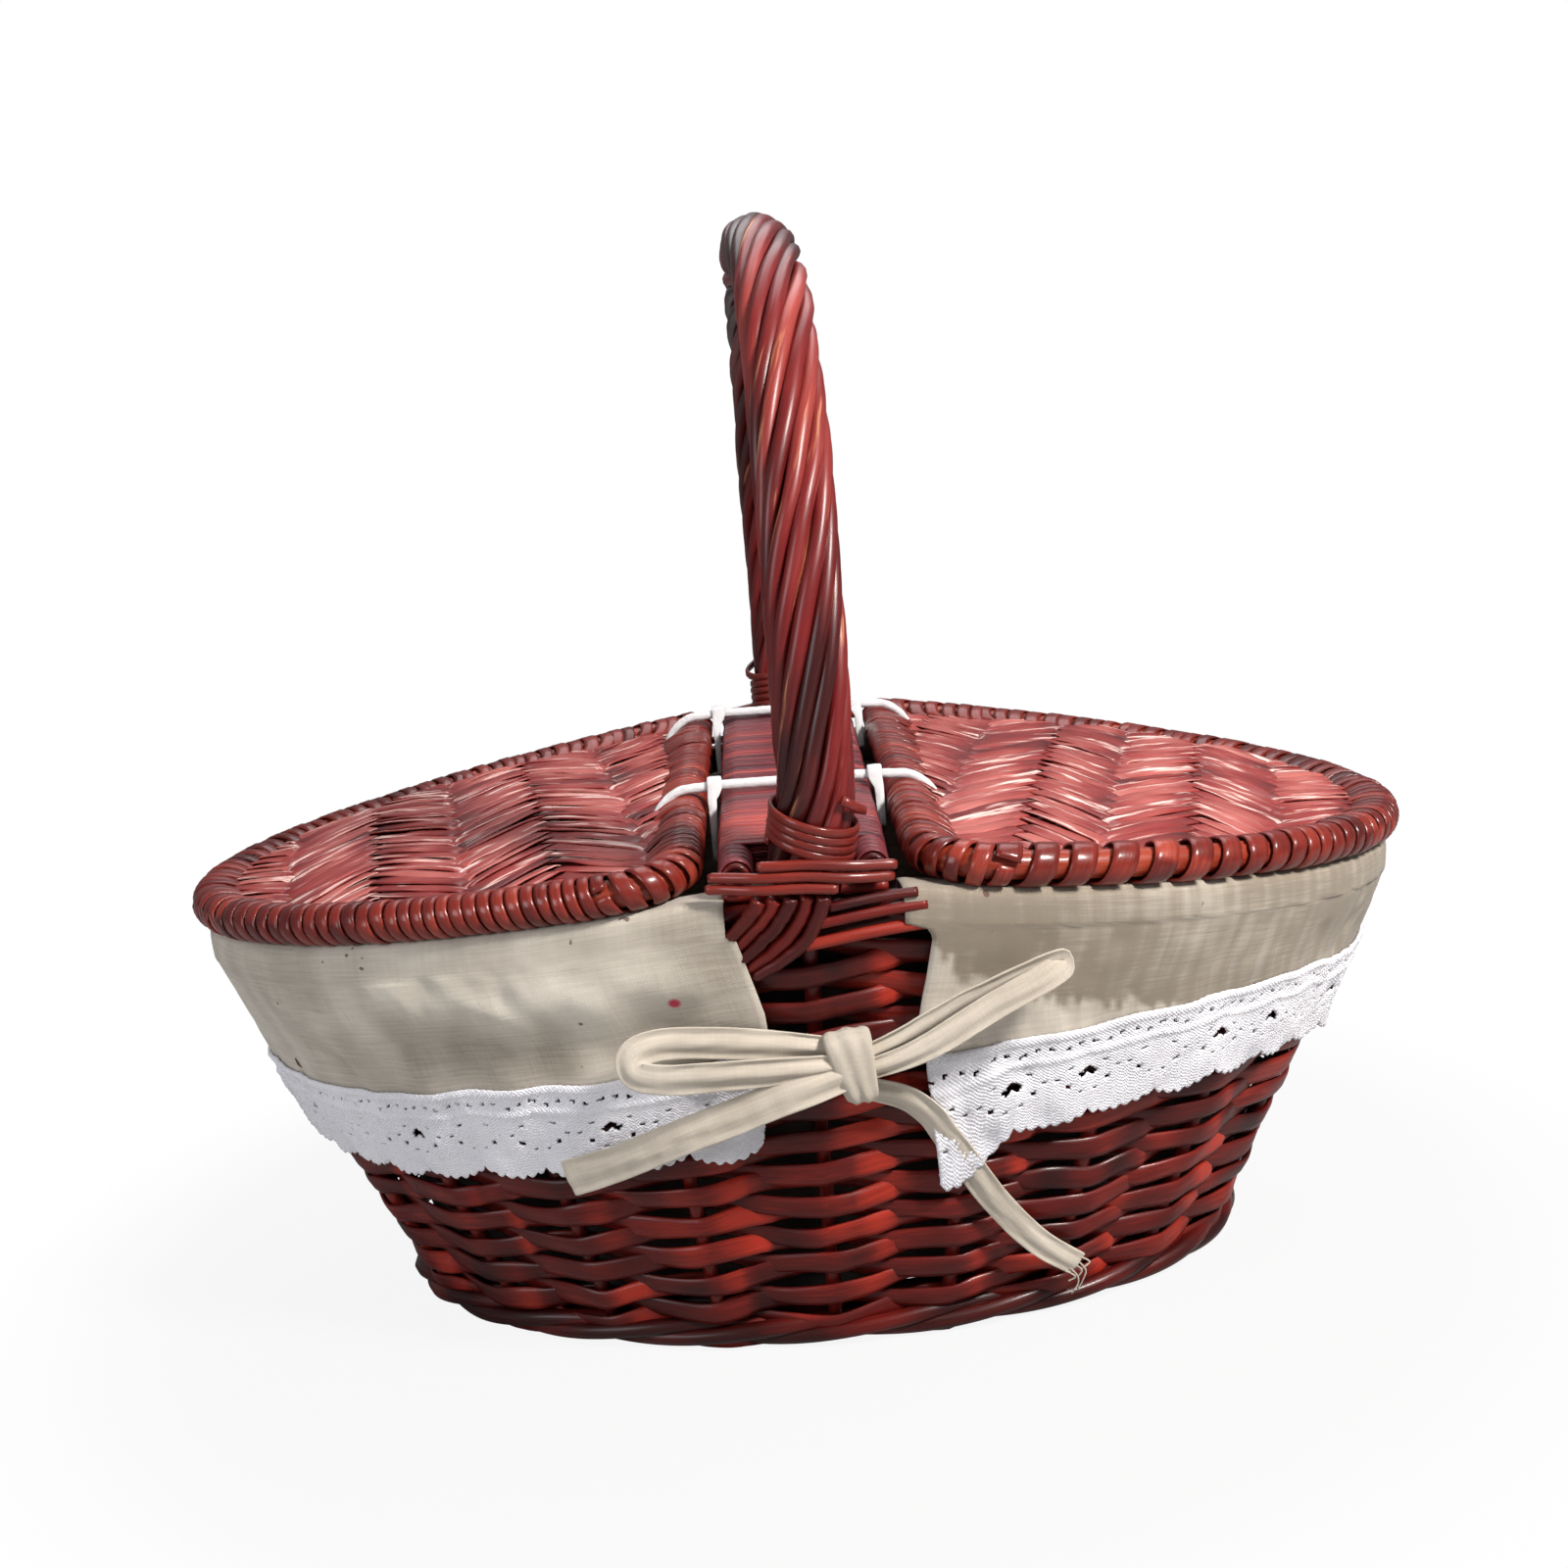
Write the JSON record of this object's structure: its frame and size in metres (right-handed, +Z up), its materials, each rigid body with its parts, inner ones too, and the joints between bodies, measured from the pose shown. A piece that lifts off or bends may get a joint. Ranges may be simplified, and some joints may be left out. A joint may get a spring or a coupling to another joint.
{
  "type": "wicker picnic hamper",
  "caption": "Oval woven hamper with a fixed arched handle over a wound bridge, two hinged half lids, and a linen liner with lace cuffs and ribbon bows.",
  "frame": {"origin": "on the table under the middle of the basket", "axes": "+X along the basket to the right lid, +Z up, -Y towards the front with the bow in the picture"},
  "size_m": [0.4004, 0.2723, 0.3478],
  "materials": {
    "woven_cane": "dark stained and varnished split cane",
    "stained_rod": "dark red-brown stained and varnished rod",
    "bridge_cane": "stained and varnished flat cane",
    "lid_weave": "brick-red stained and varnished flat cane in herringbone",
    "lid_binding": "brick-red stained and varnished flat cane",
    "white_cord": "white cotton cord and tape",
    "linen": "washed plain-weave linen",
    "crochet_lace": "white cotton crochet",
    "ribbon": "cream ribbon with a soft sheen"
  },
  "bodies": {
    "root": {"stake_frame": "stained_rod", "base_sticks": "stained_rod", "base_weave": "woven_cane", "weave_row_01": "woven_cane", "weave_row_02": "woven_cane", "weave_row_03": "woven_cane", "weave_row_04": "woven_cane", "weave_row_05": "woven_cane", "weave_row_06": "woven_cane", "weave_row_07": "woven_cane", "weave_row_08": "woven_cane", "rim_border": "stained_rod", "handle_bow": "stained_rod", "handle_strand_01": "stained_rod", "handle_strand_02": "stained_rod", "handle_strand_03": "stained_rod", "handle_strand_04": "stained_rod", "handle_strand_05": "stained_rod", "handle_strand_06": "stained_rod", "handle_strand_07": "stained_rod", "handle_strand_08": "stained_rod", "foot_binding_front": "stained_rod", "foot_binding_back": "stained_rod", "foot_lashing_front": "stained_rod", "foot_lashing_back": "stained_rod", "foot_rods_front": "stained_rod", "foot_rods_back": "stained_rod", "bridge_rail_left": "stained_rod", "bridge_rail_right": "stained_rod", "bridge_winding": "bridge_cane", "hinge_cord_front_left": "white_cord", "hinge_cord_front_right": "white_cord", "hinge_cord_back_left": "white_cord", "hinge_cord_back_right": "white_cord", "hinge_tie_front_left": "white_cord", "hinge_tie_front_right": "white_cord", "hinge_tie_back_left": "white_cord", "hinge_tie_back_right": "white_cord", "liner_bag": "linen", "liner_cuff_left": "linen", "liner_cuff_right": "linen", "cuff_lace_left": "crochet_lace", "cuff_lace_right": "crochet_lace", "bow_knot_front": "ribbon", "bow_knot_back": "ribbon", "bow_ribbon_left_front": "ribbon", "bow_ribbon_left_back": "ribbon", "bow_ribbon_right_front": "ribbon", "bow_ribbon_right_back": "ribbon"},
    "lid_left": {"lid_left_hoop": "stained_rod", "lid_left_winding": "lid_binding", "lid_left_panel": "lid_weave"},
    "lid_right": {"lid_right_hoop": "stained_rod", "lid_right_winding": "lid_binding", "lid_right_panel": "lid_weave"}
  },
  "joints": [
    {"name": "lid_left_hinge", "type": "hinge", "parent": "root", "child": "lid_left", "pos_m": [-0.0267, 0, 0.166], "axis": [0, 1, 0], "range_deg": [0, 100], "deforming": ["hinge_cord_front_left", "hinge_cord_back_left"]},
    {"name": "lid_right_hinge", "type": "hinge", "parent": "root", "child": "lid_right", "pos_m": [0.0267, 0, 0.166], "axis": [0, -1, 0], "range_deg": [0, 100], "deforming": ["hinge_cord_front_right", "hinge_cord_back_right"]}
  ]
}
